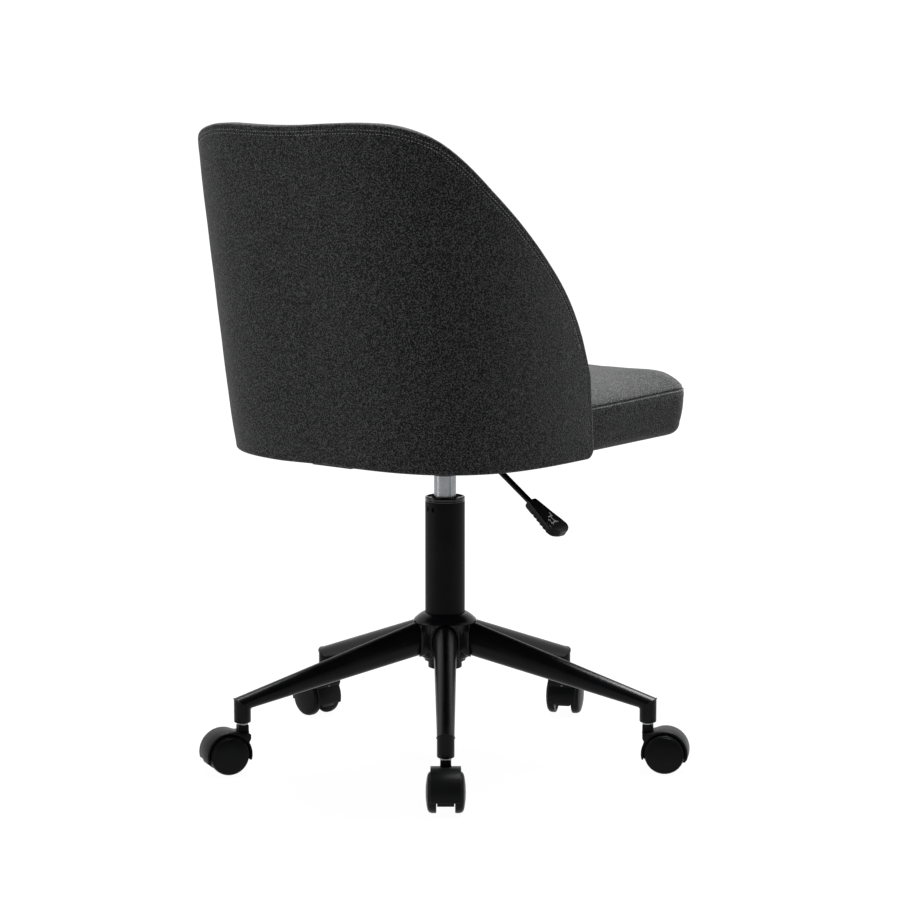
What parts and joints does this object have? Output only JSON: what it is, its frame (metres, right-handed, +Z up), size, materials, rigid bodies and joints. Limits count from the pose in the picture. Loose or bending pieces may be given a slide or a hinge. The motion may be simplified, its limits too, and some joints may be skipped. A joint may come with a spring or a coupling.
{
  "type": "adjustable swivel task chair",
  "caption": "Low-back upholstered swivel chair: curved shell back, padded seat, gas height column with lever, star base with legs on twin-wheel casters.",
  "frame": {"origin": "centre of the bounding box, on the floor plane", "axes": "+Z up from the floor; the seat faces -Y with the back on +Y; the height lever is on -X"},
  "size_m": [0.6122, 0.6148, 0.8196],
  "materials": {
    "charcoal_fabric": "heathered weave",
    "dust_cloth": "thin non-woven cloth",
    "black_powder_coat": "satin",
    "dark_nylon": "moulded, fine grain",
    "black_acetal": "smooth",
    "zinc_steel": "drawn, zinc plated",
    "hard_chrome": "ground",
    "plywood": "raw"
  },
  "bodies": {
    "base": {"base_hub": "black_powder_coat", "leg_1": "black_powder_coat", "leg_2": "black_powder_coat", "leg_3": "black_powder_coat", "leg_4": "black_powder_coat", "leg_5": "black_powder_coat", "caster_socket_1": "black_powder_coat", "caster_socket_2": "black_powder_coat", "caster_socket_3": "black_powder_coat", "caster_socket_4": "black_powder_coat", "caster_socket_5": "black_powder_coat", "stand_tube": "black_powder_coat", "guide_bush": "black_acetal"},
    "spindle": {"piston_rod": "hard_chrome", "thrust_bearing_cage": "zinc_steel", "thrust_bearing_race": "zinc_steel", "rod_clip": "zinc_steel"},
    "seat_assembly": {"gas_cylinder": "zinc_steel", "taper_sleeve": "black_powder_coat", "seat_plate": "black_powder_coat", "seat_bolt_1": "zinc_steel", "seat_bolt_2": "zinc_steel", "seat_bolt_3": "zinc_steel", "seat_bolt_4": "zinc_steel", "lever_pin": "zinc_steel", "back_outer_cover": "charcoal_fabric", "back_core": "plywood", "back_inner_pad": "charcoal_fabric", "back_bracket": "black_powder_coat", "seat_cushion": "charcoal_fabric", "seat_board": "plywood", "seat_dust_cover": "dust_cloth"},
    "lever": {"lever_rod": "black_powder_coat", "lever_grip": "dark_nylon"},
    "release_button": {"release_button": "zinc_steel"},
    "caster_1": {"caster_body_1": "dark_nylon", "caster_stem_1": "zinc_steel", "caster_axle_1": "zinc_steel"},
    "wheel_1a": {"caster_wheel_1a": "dark_nylon"},
    "wheel_1b": {"caster_wheel_1b": "dark_nylon"},
    "caster_2": {"caster_body_2": "dark_nylon", "caster_stem_2": "zinc_steel", "caster_axle_2": "zinc_steel"},
    "wheel_2a": {"caster_wheel_2a": "dark_nylon"},
    "wheel_2b": {"caster_wheel_2b": "dark_nylon"},
    "caster_3": {"caster_body_3": "dark_nylon", "caster_stem_3": "zinc_steel", "caster_axle_3": "zinc_steel"},
    "wheel_3a": {"caster_wheel_3a": "dark_nylon"},
    "wheel_3b": {"caster_wheel_3b": "dark_nylon"},
    "caster_4": {"caster_body_4": "dark_nylon", "caster_stem_4": "zinc_steel", "caster_axle_4": "zinc_steel"},
    "wheel_4a": {"caster_wheel_4a": "dark_nylon"},
    "wheel_4b": {"caster_wheel_4b": "dark_nylon"},
    "caster_5": {"caster_body_5": "dark_nylon", "caster_stem_5": "zinc_steel", "caster_axle_5": "zinc_steel"},
    "wheel_5a": {"caster_wheel_5a": "dark_nylon"},
    "wheel_5b": {"caster_wheel_5b": "dark_nylon"}
  },
  "joints": [
    {"name": "seat_swivel", "type": "hinge", "parent": "base", "child": "spindle", "pos_m": [-0.00327, 0.01211, 0.12], "axis": [0, 0, 1], "continuous": true},
    {"name": "height_slide", "type": "slide", "parent": "spindle", "child": "seat_assembly", "axis": [0, 0, 1], "range_m": [0, 0.1]},
    {"name": "lever_lift", "type": "hinge", "parent": "seat_assembly", "child": "lever", "pos_m": [-0.03327, 0.01211, 0.388], "axis": [0, 1, 0], "range_deg": [0, 8], "stiffness_Nm_per_rad": 2},
    {"name": "button_press", "type": "slide", "parent": "seat_assembly", "child": "release_button", "axis": [0, 0, -1], "range_m": [0, 0.0043]},
    {"name": "caster_1_swivel", "type": "hinge", "parent": "base", "child": "caster_1", "pos_m": [-0.16737, 0.22095, 0.06], "axis": [0, 0, 1], "continuous": true},
    {"name": "wheel_1a_roll", "type": "hinge", "parent": "caster_1", "child": "wheel_1a", "pos_m": [-0.18092, 0.23828, 0.02509], "axis": [-0.788, -0.6157, 0], "continuous": true},
    {"name": "wheel_1b_roll", "type": "hinge", "parent": "caster_1", "child": "wheel_1b", "pos_m": [-0.18092, 0.23828, 0.02509], "axis": [-0.788, -0.6157, 0], "continuous": true},
    {"name": "caster_2_swivel", "type": "hinge", "parent": "base", "child": "caster_2", "pos_m": [-0.2526, -0.07943, 0.06], "axis": [0, 0, 1], "continuous": true},
    {"name": "wheel_2a_roll", "type": "hinge", "parent": "caster_2", "child": "wheel_2a", "pos_m": [-0.27166, -0.09041, 0.02509], "axis": [0.4992, -0.8665, 0], "continuous": true},
    {"name": "wheel_2b_roll", "type": "hinge", "parent": "caster_2", "child": "wheel_2b", "pos_m": [-0.27166, -0.09041, 0.02509], "axis": [0.4992, -0.8665, 0], "continuous": true},
    {"name": "caster_3_swivel", "type": "hinge", "parent": "base", "child": "caster_3", "pos_m": [0.00674, -0.2533, 0.06], "axis": [0, 0, 1], "continuous": true},
    {"name": "wheel_3a_roll", "type": "hinge", "parent": "caster_3", "child": "wheel_3a", "pos_m": [0.01635, -0.27309, 0.02509], "axis": [0.8996, 0.4368, 0], "continuous": true},
    {"name": "wheel_3b_roll", "type": "hinge", "parent": "caster_3", "child": "wheel_3b", "pos_m": [0.01635, -0.27309, 0.02509], "axis": [0.8996, 0.4368, 0], "continuous": true},
    {"name": "caster_4_swivel", "type": "hinge", "parent": "base", "child": "caster_4", "pos_m": [0.25224, -0.06039, 0.06], "axis": [0, 0, 1], "continuous": true},
    {"name": "wheel_4a_roll", "type": "hinge", "parent": "caster_4", "child": "wheel_4a", "pos_m": [0.27376, -0.06496, 0.02509], "axis": [0.2079, 0.9781, 0], "continuous": true},
    {"name": "wheel_4b_roll", "type": "hinge", "parent": "caster_4", "child": "wheel_4b", "pos_m": [0.27376, -0.06496, 0.02509], "axis": [0.2079, 0.9781, 0], "continuous": true},
    {"name": "caster_5_swivel", "type": "hinge", "parent": "base", "child": "caster_5", "pos_m": [0.14464, 0.23272, 0.06], "axis": [0, 0, 1], "continuous": true},
    {"name": "wheel_5a_roll", "type": "hinge", "parent": "caster_5", "child": "wheel_5a", "pos_m": [0.15597, 0.25157, 0.02509], "axis": [-0.8572, 0.515, 0], "continuous": true},
    {"name": "wheel_5b_roll", "type": "hinge", "parent": "caster_5", "child": "wheel_5b", "pos_m": [0.15597, 0.25157, 0.02509], "axis": [-0.8572, 0.515, 0], "continuous": true}
  ],
  "couplings": [
    {"joint": "button_press", "follows": "lever_lift", "m_per_rad": 0.03}
  ]
}
